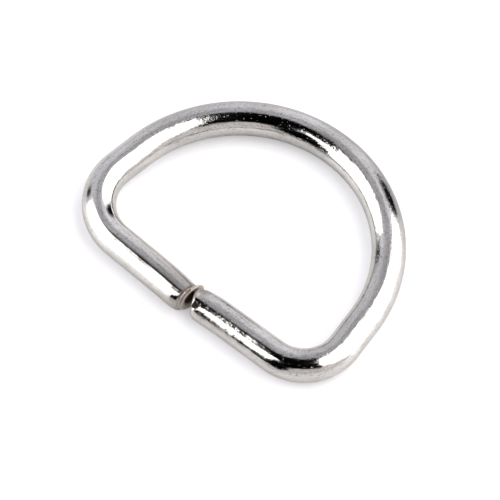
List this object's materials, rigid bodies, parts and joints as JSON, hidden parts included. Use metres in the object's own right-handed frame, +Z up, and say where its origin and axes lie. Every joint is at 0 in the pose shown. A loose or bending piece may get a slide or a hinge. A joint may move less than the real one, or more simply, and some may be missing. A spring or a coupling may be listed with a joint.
{
  "type": "d ring",
  "caption": "Open D ring bent from round nickel-plated steel wire, with a straight bar for a strap, a rounded bow and a butt seam in the bar.",
  "frame": {"origin": "centre of the ring's bounding box in plan, on the surface that the ring lies on", "axes": "+X along the bar from the square cut end to the one drawn down to a nose, +Y from the bar to the top of the bow, +Z up, square to the ring's plane"},
  "size_m": [0.0314, 0.024, 0.0032],
  "materials": {
    "nickel_plate": "bright nickel plate over drawn steel wire, with fine drawing lines and pits"
  },
  "bodies": {
    "root": {"ring_wire": "nickel_plate"}
  },
  "joints": []
}
